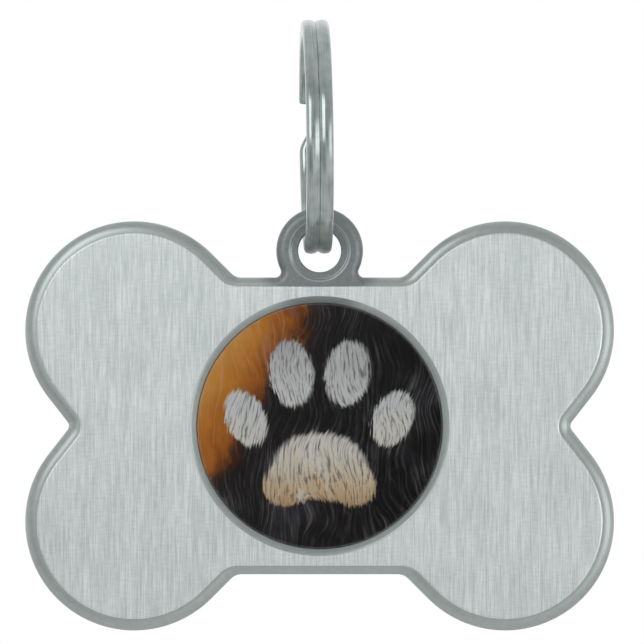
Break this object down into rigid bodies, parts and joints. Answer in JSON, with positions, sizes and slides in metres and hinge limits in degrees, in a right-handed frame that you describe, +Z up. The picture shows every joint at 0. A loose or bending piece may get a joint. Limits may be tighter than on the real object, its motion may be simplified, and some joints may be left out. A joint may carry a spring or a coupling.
{
  "type": "pet id tag",
  "caption": "Bone-shaped metal pet tag with a round picture recess under a clear cover, hanging by its cast lug from a split ring.",
  "frame": {"origin": "the point inside the top of the split ring where a collar's loop bears, with the tag hanging at rest", "axes": "+Z up, from the tag through its lug and the split ring; -Y out of the tag's brushed front; +X to the right seen from the front"},
  "size_m": [0.0508, 0.0202, 0.0527],
  "materials": {
    "cast_zinc": "nickel-plated zinc casting: front brushed up and down, border and recess wall tumbled smooth, lug as cast, back lapped",
    "adhesive": "thin double-sided pad",
    "print": "printed disc in amber, charcoal, white and cream",
    "clear_film": "glossy clear polyester cover",
    "spring_steel": "nickel-plated flat spring wire, bright"
  },
  "bodies": {
    "ring": {"split_ring": "spring_steel"},
    "tag": {"tag_body": "cast_zinc", "adhesive_pad": "adhesive", "printed_disc": "print", "clear_cover": "clear_film"}
  },
  "joints": [
    {"name": "tag_swing", "type": "hinge", "parent": "ring", "child": "tag", "pos_m": [0, 0, -0.01855], "axis": [0, 1, 0], "range_deg": [-77, 77]}
  ]
}
